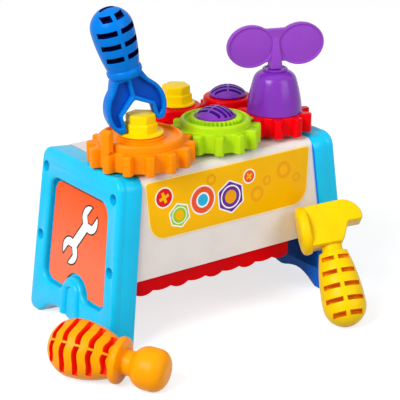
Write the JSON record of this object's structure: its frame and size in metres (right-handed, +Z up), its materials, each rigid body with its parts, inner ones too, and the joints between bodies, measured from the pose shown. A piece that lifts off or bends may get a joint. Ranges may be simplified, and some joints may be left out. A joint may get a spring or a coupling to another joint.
{
  "type": "toy workbench",
  "caption": "Toy workbench with splayed end frames, a meshed gear train on its deck, bolts, dome screws, a winged key, and a toy wrench, hammer and screwdriver.",
  "frame": {"origin": "middle of the bench's footprint, on the floor", "axes": "+Z up, +X along the bench to the key end, -Y towards the front label"},
  "size_m": [0.3856, 0.2621, 0.3409],
  "materials": {
    "frame_cyan": "glossy moulded plastic",
    "cover_blue": "glossy moulded plastic",
    "panel_coral": "satin printed plastic",
    "housing_white": "glossy moulded plastic",
    "board_red": "glossy moulded plastic",
    "label_yellow": "glossy printed film",
    "gear_orange": "glossy moulded plastic",
    "gear_green": "glossy moulded plastic",
    "gear_red": "glossy moulded plastic",
    "bolt_yellow": "glossy moulded plastic",
    "key_purple": "glossy moulded plastic",
    "tool_blue": "glossy moulded plastic",
    "tool_yellow": "glossy moulded plastic",
    "tool_orange": "glossy moulded plastic",
    "screw_steel": "plated"
  },
  "bodies": {
    "bench": {"left_end_frame": "frame_cyan", "right_end_frame": "frame_cyan", "left_inner_cover": "cover_blue", "right_inner_cover": "cover_blue", "left_end_panel": "panel_coral", "housing": "housing_white", "base_board": "board_red", "front_label": "label_yellow", "front_left_post": "housing_white", "front_middle_post": "housing_white", "front_right_post": "housing_white", "back_left_post": "housing_white", "back_right_post": "housing_white", "left_frame_screws": "screw_steel", "right_frame_screws": "screw_steel"},
    "orange_gear": {"orange_gear": "gear_orange"},
    "green_gear": {"green_gear": "gear_green"},
    "red_gear": {"red_gear": "gear_red"},
    "back_left_gear": {"back_left_gear": "gear_red"},
    "back_right_gear": {"back_right_gear": "gear_red"},
    "front_bolt": {"front_bolt": "bolt_yellow"},
    "back_bolt": {"back_bolt": "bolt_yellow"},
    "front_dome_screw": {"front_dome_screw": "key_purple"},
    "back_dome_screw": {"back_dome_screw": "key_purple"},
    "key": {"key_base": "key_purple", "key_bell": "key_purple", "key_wing": "key_purple"},
    "wrench": {"wrench_head": "tool_blue", "wrench_grip": "tool_blue"},
    "hammer": {"hammer_head": "tool_yellow", "hammer_grip": "tool_yellow"},
    "screwdriver": {"screwdriver_grip": "tool_orange", "screwdriver_tip": "tool_orange"}
  },
  "joints": [
    {"name": "orange_spin", "type": "hinge", "parent": "bench", "child": "orange_gear", "pos_m": [-0.08328, -0.03296, 0.191], "axis": [0, 0, 1], "continuous": true},
    {"name": "green_spin", "type": "hinge", "parent": "bench", "child": "green_gear", "pos_m": [0.0103, -0.031, 0.191], "axis": [0, 0, 1], "continuous": true},
    {"name": "red_spin", "type": "hinge", "parent": "bench", "child": "red_gear", "pos_m": [0.08947, -0.02865, 0.191], "axis": [0, 0, 1], "continuous": true},
    {"name": "back_left_spin", "type": "hinge", "parent": "bench", "child": "back_left_gear", "pos_m": [0.01366, 0.04453, 0.191], "axis": [0, 0, 1], "continuous": true},
    {"name": "back_right_spin", "type": "hinge", "parent": "bench", "child": "back_right_gear", "pos_m": [0.07821, 0.03882, 0.191], "axis": [0, 0, 1], "continuous": true},
    {"name": "front_bolt_turn", "type": "hinge", "parent": "bench", "child": "front_bolt", "pos_m": [-0.08328, -0.03296, 0.215], "axis": [0, 0, 1], "continuous": true},
    {"name": "back_bolt_turn", "type": "hinge", "parent": "bench", "child": "back_bolt", "pos_m": [0.01366, 0.04453, 0.21], "axis": [0, 0, 1], "continuous": true},
    {"name": "front_dome_turn", "type": "hinge", "parent": "bench", "child": "front_dome_screw", "pos_m": [0.0103, -0.031, 0.212], "axis": [0, 0, 1], "continuous": true},
    {"name": "back_dome_turn", "type": "hinge", "parent": "bench", "child": "back_dome_screw", "pos_m": [0.07821, 0.03882, 0.207], "axis": [0, 0, 1], "continuous": true},
    {"name": "key_lift", "type": "slide", "parent": "red_gear", "child": "key", "axis": [0, 0, 1], "range_m": [0, 0.05]},
    {"name": "wrench_lift", "type": "slide", "parent": "front_bolt", "child": "wrench", "axis": [-0.2614, 0.0556, 0.9636], "range_m": [0, 0.06]},
    {"name": "hammer_lift", "type": "slide", "parent": "bench", "child": "hammer", "axis": [0, 0, 1], "range_m": [0, 0.05]},
    {"name": "screwdriver_lift", "type": "slide", "parent": "bench", "child": "screwdriver", "axis": [0, 0, 1], "range_m": [0, 0.05]}
  ],
  "couplings": [
    {"joint": "green_spin", "follows": "orange_spin", "ratio": -1.1667},
    {"joint": "red_spin", "follows": "orange_spin", "ratio": 1.4},
    {"joint": "back_left_spin", "follows": "orange_spin", "ratio": 1.5556},
    {"joint": "back_right_spin", "follows": "orange_spin", "ratio": -1.5556}
  ]
}
